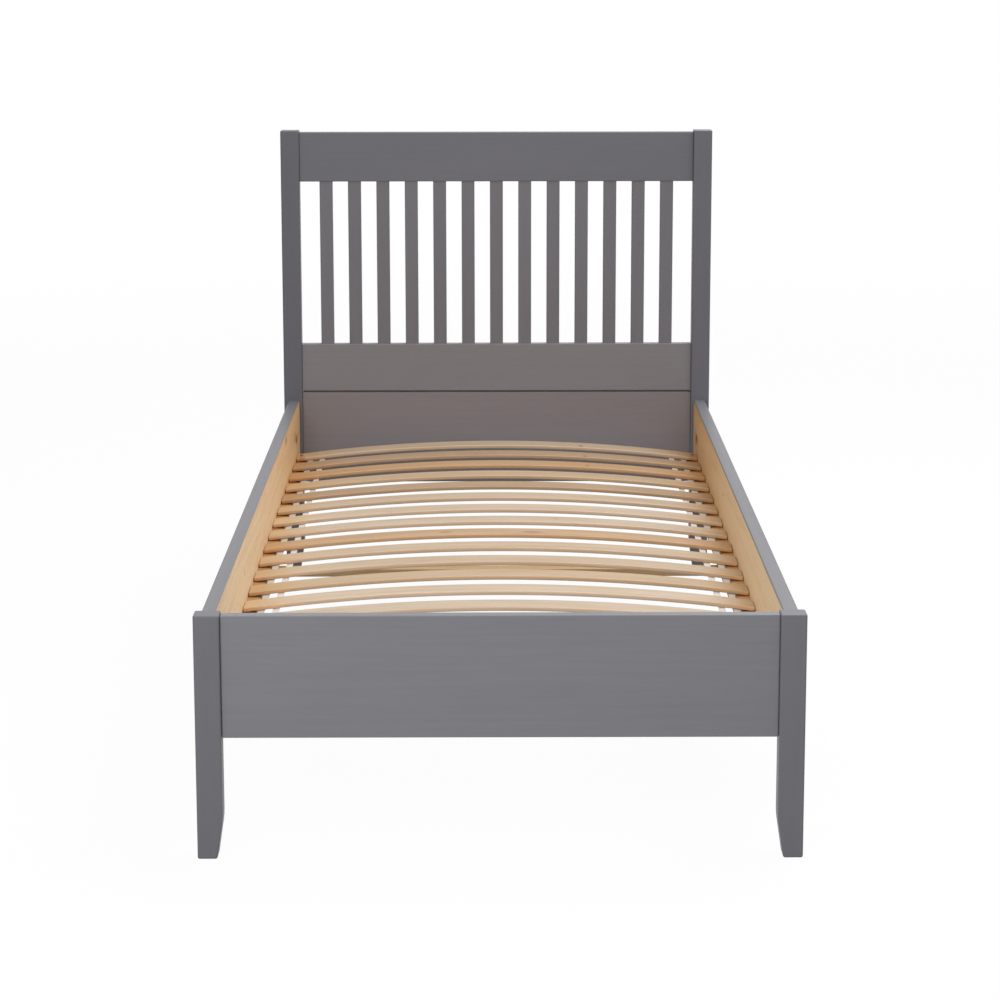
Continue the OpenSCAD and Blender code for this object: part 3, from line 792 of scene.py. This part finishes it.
# %% [markdown]
# ## Side rails
# A rail is painted outside and on its edges, but its inner face stays bare. Near each
# end a pocket is milled for the nut, and a bolt hole runs from it to the rail's end. The
# milling cutter is round, so the pocket's ends are too: the cutting shape is a block whose
# four corners are rounded until they almost meet. A Boolean takes it out of the rail. The faces
# then choose between paint and pine by where they lie. On the right rail the paint runs
# over the inner top edge, and on the left rail it stops short of it.

# %% Make the two rails
POCKET_END = 50 * MM
POCKET_LONG = 70 * MM
POCKET_HIGH = 27 * MM
POCKET_DEEP = 19.5 * MM
POCKET_ROUND = 0.998
BOLT_UP = 124 * MM
BOLT_IN = 11 * MM
BOLT_HOLE = 9.5 * MM
HOLE_IN_POCKET = 10 * MM
PAST_WOOD = 5 * MM
BARE_LEFT = RAIL_EDGE / 2
BARE_RIGHT = 0.1 * MM


def pocket_cutter(inner, side, end, toward, level):
    """The milled pocket and its bolt hole, at one end of a rail."""
    start = end - toward * POCKET_END
    stop = start - toward * POCKET_LONG
    out = inner - side * PAST_WOOD
    deep = inner + side * POCKET_DEEP
    low = Vector((min(out, deep), min(start, stop), level - POCKET_HIGH / 2))
    high = Vector((max(out, deep), max(start, stop), level + POCKET_HIGH / 2))
    tool = block(low, high)
    ease(tool, edges_along(tool, X), POCKET_HIGH / 2 * POCKET_ROUND, segments=12)
    hole_long = PAST_WOOD + POCKET_END + HOLE_IN_POCKET
    hole_y = end - toward * (hole_long / 2 - PAST_WOOD)
    middle = Vector((inner + side * BOLT_IN, hole_y, level))
    turn = Matrix.Rotation(math.pi / 2, 4, "X")
    bmesh.ops.create_cone(tool, cap_ends=True, segments=32, radius1=BOLT_HOLE / 2,
                          radius2=BOLT_HOLE / 2, depth=hole_long,
                          matrix=Matrix.Translation(middle) @ turn)
    return tool


def make_rail(node, tint):
    low, high = node_box(node)
    side = 1 if low.x > 0 else -1
    inner = low.x if side > 0 else high.x
    level = low.z + BOLT_UP
    wood = block(low, high)
    ease(wood, edges_along(wood, Y), RAIL_EDGE)
    for end, toward in ((low.y, -1), (high.y, 1)):
        rail = as_object(wood, "sawn_rail", [])
        cutter = as_object(pocket_cutter(inner, side, end, toward, level), "pocket_cutter", [])
        wood = cut_away(rail, cutter)
    bare = BARE_LEFT if side < 0 else BARE_RIGHT
    for face in wood.faces:
        middle = face.calc_center_median()
        depth = abs(middle.x - inner)
        near_bolt = abs(middle.z - level) < POCKET_HIGH
        face.material_index = int(depth < bare or (depth < POCKET_DEEP + MM and near_bolt))
    lay_grain(wood, node, tint)
    return finish_piece(wood, node, "painted_grey", paint, pine)


RAIL_TINTS = {"side_rail_left": (0.94, 0.925, 0.93), "side_rail_right": (0.90, 0.883, 0.89)}
for node, tint in RAIL_TINTS.items():
    rail = make_rail(node, tint)
    print(rail.name, "has", len(rail.data.polygons), "faces")

# %% [markdown]
# ## Bowed slats
# A slat is made flat and then bent, as the real one is over its form. The flat block gets
# its cut corners, forty crosswise divisions and eased edges, and its grain is laid
# while it is still straight. Bending then carries every corner round a long radius. That
# radius follows from the bow's width and its rise, which the measured box gives.

# %% Make the sixteen slats
SLAT_CUTS = 40


def bow_radius(low, high):
    half = (high.x - low.x) / 2
    rise = high.z - low.z - SLAT_THICK
    return (half * half + rise * rise) / (2 * rise)


def make_slat(node, tint):
    low, high = node_box(node)
    radius = bow_radius(low, high)
    half = (high.x - low.x) / 2
    reach = math.asin(half / (radius + SLAT_THICK)) * radius
    middle_y = (low.y + high.y) / 2
    wide = Vector((reach, (high.y - low.y) / 2, SLAT_THICK / 2))
    wood = block(-wide, wide)
    ease(wood, edges_along(wood, Z), SLAT_CORNER, segments=1)
    bmesh.ops.subdivide_edges(wood, edges=edges_along(wood, X), cuts=SLAT_CUTS,
                              use_grid_fill=True)
    sharp = [edge for edge in wood.edges if edge.calc_face_angle() > SHARP_ANGLE]
    ease(wood, sharp, SLAT_EDGE)
    lay_grain(wood, node, tint, heart=(0.05, 0.12))
    for corner in wood.verts:
        angle = corner.co.x / radius
        out = radius + SLAT_THICK / 2 + corner.co.z
        corner.co = Vector((out * math.sin(angle), corner.co.y + middle_y,
                            high.z - SLAT_THICK - radius + out * math.cos(angle)))
    return finish_piece(wood, node, "slat_wood", slat_finish)


SLAT_TONES = {"pale": (0.98, 1.00, 1.08), "straw": (0.92, 0.91, 0.93),
              "tan": (0.89, 0.83, 0.77), "honey": (0.85, 0.72, 0.59),
              "amber": (0.86, 0.70, 0.53), "brown": (0.74, 0.65, 0.58)}
TONE_ORDER = ("pale", "straw", "pale", "pale", "tan", "straw", "straw", "honey",
              "pale", "pale", "straw", "brown", "tan", "amber", "brown", "straw")
slats = sorted(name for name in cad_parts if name.startswith("slat_") and name[5:].isdigit())
for node, tone in zip(slats, TONE_ORDER):
    depth = random.Random(node + "tint").uniform(0.97, 1.02)
    make_slat(node, [share * depth for share in SLAT_TONES[tone]])
print(len(slats), "slats, bent to a radius of", round(bow_radius(*node_box(slats[0])), 3), "m")

# %% [markdown]
# ## Slat tapes
# Four narrow tapes hold the slats at their spacing. A tape is pulled tight and stapled to
# each slat, and between two staples it still sags a hair. The strip is divided at
# every slat, its free lengths drop slightly, and it is then tilted to lie against the bow.

# %% Make the four tapes
TAPE_WIDE = 12 * MM
TAPE_THICK = 1.2 * MM
TAPE_GAP = 0.2 * MM
TAPE_SAG = 1.5 * MM
TAPE_EDGE = 0.4 * MM
TAPE_CUTS = 9
slat_middles = [sum(node_box(node)[i].y for i in (0, 1)) / 2 for node in slats]
slat_low, slat_high = node_box(slats[0])
bow = bow_radius(slat_low, slat_high)


def make_tape(node):
    low, high = node_box(node)
    middle_x = (low.x + high.x) / 2
    half = Vector((TAPE_WIDE / 2, (high.y - low.y) / 2, TAPE_THICK / 2))
    middle_y = (low.y + high.y) / 2
    tape = block(-half, half)
    pitch = slat_middles[1] - slat_middles[0]
    for middle in slat_middles:
        for step in range(-(TAPE_CUTS // 2), TAPE_CUTS // 2 + 1):
            saw_through(tape, Y, middle + step * pitch / TAPE_CUTS - middle_y)
    for corner in tape.verts:
        from_slat = min(abs(corner.co.y + middle_y - middle) for middle in slat_middles)
        held = (slat_high.y - slat_low.y) / 2
        free = max(0.0, from_slat - held) / (pitch / 2 - held)
        corner.co.z -= TAPE_SAG * math.sin(min(free, 1) * math.pi / 2)
    sharp = [edge for edge in edges_along(tape, Y) if edge.calc_face_angle() > SHARP_ANGLE]
    ease(tape, sharp, TAPE_EDGE, segments=2)
    tilt = math.asin(middle_x / bow)
    under = slat_high.z - SLAT_THICK - bow + math.sqrt(bow * bow - middle_x * middle_x)
    place = Matrix.Translation((middle_x, middle_y, under)) @ Matrix.Rotation(tilt, 4, "Y")
    drop = Matrix.Translation((0, 0, -TAPE_GAP - TAPE_THICK / 2))
    bmesh.ops.transform(tape, matrix=place @ drop, verts=tape.verts)
    return finish_piece(tape, node, "webbing", tape_finish)


for node in sorted(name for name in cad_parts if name.startswith("slat_tape")):
    tape = make_tape(node)
    print(tape.name, "hangs down to", round(min(corner.co.z for corner in tape.data.vertices), 4))

# %% [markdown]
# ## Slat screws
# The first and the last slat are screwed down. A screw is a turned shape, so its outline is
# drawn once, in millimetres, from the top of its domed head to its point, and spun round its
# axis. A cross recess is then cut into the head, one slot after the other, because a head
# without one reads as a plain stud.

# %% Make the slat screws
HEAD_HIGH = 2.0
HEAD_WIDE = 4.25
SCREW_OUTLINE = ((0, HEAD_HIGH), (1.6, 1.95), (2.9, 1.6), (3.8, 1.0), (HEAD_WIDE, 0.35),
                 (HEAD_WIDE, 0), (2.0, 0), (2.0, -24), (0, -28))
SLOT_SIZE = Vector((4.4, 0.9, 2.4)) * MM


def screw_blank():
    screw = bmesh.new()
    corners = [screw.verts.new((out * MM, 0, up * MM)) for out, up in SCREW_OUTLINE]
    for first, second in zip(corners, corners[1:]):
        screw.edges.new((first, second))
    bmesh.ops.spin(screw, geom=screw.verts[:] + screw.edges[:], cent=(0, 0, 0), axis=(0, 0, 1),
                   angle=2 * math.pi, steps=32, use_merge=True)
    bmesh.ops.remove_doubles(screw, verts=screw.verts, dist=0.01 * MM)
    return screw


def recess_slot(turn):
    """One of the two crossing slots of the recess."""
    tool = bmesh.new()
    place = Matrix.Translation((0, 0, HEAD_HIGH * MM)) @ Matrix.Rotation(turn, 4, "Z")
    bmesh.ops.create_cube(tool, size=1, matrix=place @ Matrix.Diagonal((*SLOT_SIZE, 1)))
    return tool


def make_slat_screws():
    low, high = node_box("slat_screws")
    screws = bmesh.new()
    single = screw_blank()
    for turn in (0, math.pi / 2):
        blank = as_object(single, "screw_blank", [])
        single = cut_away(blank, as_object(recess_slot(turn), "recess_slot", []))
    pattern = bpy.data.meshes.new("screw_pattern")
    single.to_mesh(pattern)
    single.free()
    head = HEAD_WIDE * MM
    for x in (low.x + head, high.x - head):
        for y in (low.y + head, high.y - head):
            start = len(screws.verts)
            screws.from_mesh(pattern)
            screws.verts.ensure_lookup_table()
            turn = Matrix.Rotation(random.Random(f"{x:.3f}{y:.3f}").uniform(0, 1.5), 4, "Z")
            place = Matrix.Translation((x, y, high.z - HEAD_HIGH * MM))
            bmesh.ops.transform(screws, matrix=place @ turn, verts=screws.verts[start:])
    bpy.data.meshes.remove(pattern)
    return finish_piece(screws, "slat_screws", "bronzed_steel", bronze)


screws = make_slat_screws()
print(screws.name, "has", len(screws.data.polygons), "faces")

# %% [markdown]
# ## The hidden fastenings
# Bolts, nuts, inserts, washers, staples, dowels and the hidden screws already have the right
# shape in the measured model, so those nodes stay as they are. Only their materials change.

# %% Refinish the kept nodes
def refinish(node, finish):
    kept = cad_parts[node]
    if not kept.material_slots:
        kept.data.materials.append(finish)
    for slot in kept.material_slots:
        slot.material = finish


KEPT_NODES = ((zinc, ("tape_staples", "ledge_screws", "crossbar_screws", "threaded_inserts")),
              (bronze, ("rail_bolts", "half_moon_washers", "rail_nuts")),
              (dowel_finish, ("rail_dowels", "headboard_dowels", "footboard_dowels")))
for finish, nodes in KEPT_NODES:
    for node in nodes:
        refinish(node, finish)
print("kept nodes with a new finish:", sum(len(nodes) for finish, nodes in KEPT_NODES))

# %% [markdown]
# ## Floor and surroundings
# The bed stands on a plain pale floor under an even white sky. Seen directly or in a
# reflection, both are white. For the light that they send onto the bed they are
# dimmer, which a Light Path node tells apart. A part of the floor's own shading is kept, so
# that the posts still have their soft shadows.

# %% Make the floor and the sky
def seen_directly(tree):
    rays = add(tree, "LightPath").outputs
    direct = sums(tree, "MAXIMUM", rays["Is Camera Ray"], rays["Is Glossy Ray"])
    return sums(tree, "MAXIMUM", direct, rays["Is Transmission Ray"])


FLOOR_RADIUS = 150
NEAR_GLOW = 0.95
SKY_LEVEL = 0.35


def pale_floor():
    finish, tree, shader = start_finish("pale_floor")
    place = add(tree, "TexCoord").outputs["Object"]
    speck = noise(tree, place, 3, detail=3).outputs["Fac"]
    seen = seen_directly(tree)
    dim = mix_colours(tree, speck, (0.30, 0.30, 0.30), (0.33, 0.33, 0.33))
    tree.links.new(mix_colours(tree, seen, dim, (0.92, 0.92, 0.92)), shader.inputs["Base Color"])
    shader.inputs["Roughness"].default_value = 0.9
    shader.inputs["Specular IOR Level"].default_value = 0.1
    glow = add(tree, "Emission", {"Color": (1, 1, 1, 1), "Strength": 1})
    far = add(tree, "VectorMath", {0: place}, operation="LENGTH").outputs["Value"]
    share = sums(tree, "MULTIPLY", seen, fade(tree, far, 1.5, 8, NEAR_GLOW, 1))
    both = add(tree, "MixShader", {0: share, 1: shader.outputs[0], 2: glow.outputs[0]})
    tree.links.new(both.outputs[0], tree.nodes["Material Output"].inputs["Surface"])
    return finish


ground = bmesh.new()
bmesh.ops.create_circle(ground, cap_ends=True, segments=96, radius=FLOOR_RADIUS)
floor = as_object(ground, "floor", [pale_floor()])

world = bpy.data.worlds.new("studio")
scene.world = world
world.use_nodes = True
sky = world.node_tree
background = sky.nodes["Background"]
background.inputs["Color"].default_value = (1, 1, 1, 1)
level = sums(sky, "MULTIPLY_ADD", seen_directly(sky), 1 - SKY_LEVEL, SKY_LEVEL)
sky.links.new(level, background.inputs["Strength"])
print("the sky lights the bed at", SKY_LEVEL, "of its white")

# %% [markdown]
# ## Lamps
# Two soft boxes add to the sky. One hangs high on the right, over the head end. It lights
# the tops of the posts, rails and slats more than the upright boards, and leaves soft
# shadows under the slats. The other stands in front, left of the middle, and lights the
# footboard more than the headboard, which is farther from it.

# %% Hang the lamps
def hang_lamp(name, place, target, size, power):
    lamp_data = bpy.data.lights.new(name, "AREA")
    lamp_data.shape = "RECTANGLE"
    lamp_data.size, lamp_data.size_y = size
    lamp_data.energy = power
    lamp = bpy.data.objects.new(name, lamp_data)
    scene.collection.objects.link(lamp)
    lamp.location = place
    lamp.rotation_euler = (Vector(target) - Vector(place)).to_track_quat("-Z", "Y").to_euler()
    return lamp


hang_lamp("soft_box", (1.3, 0.8, 3.6), (0, 0, 0.3), (4.4, 2.4), 124)
hang_lamp("front_box", (-0.6, -3.1, 1.7), (0, -0.9, 0.3), (1.6, 1.3), 44)
scene.view_settings.view_transform = "Standard"
print("lamps hung")
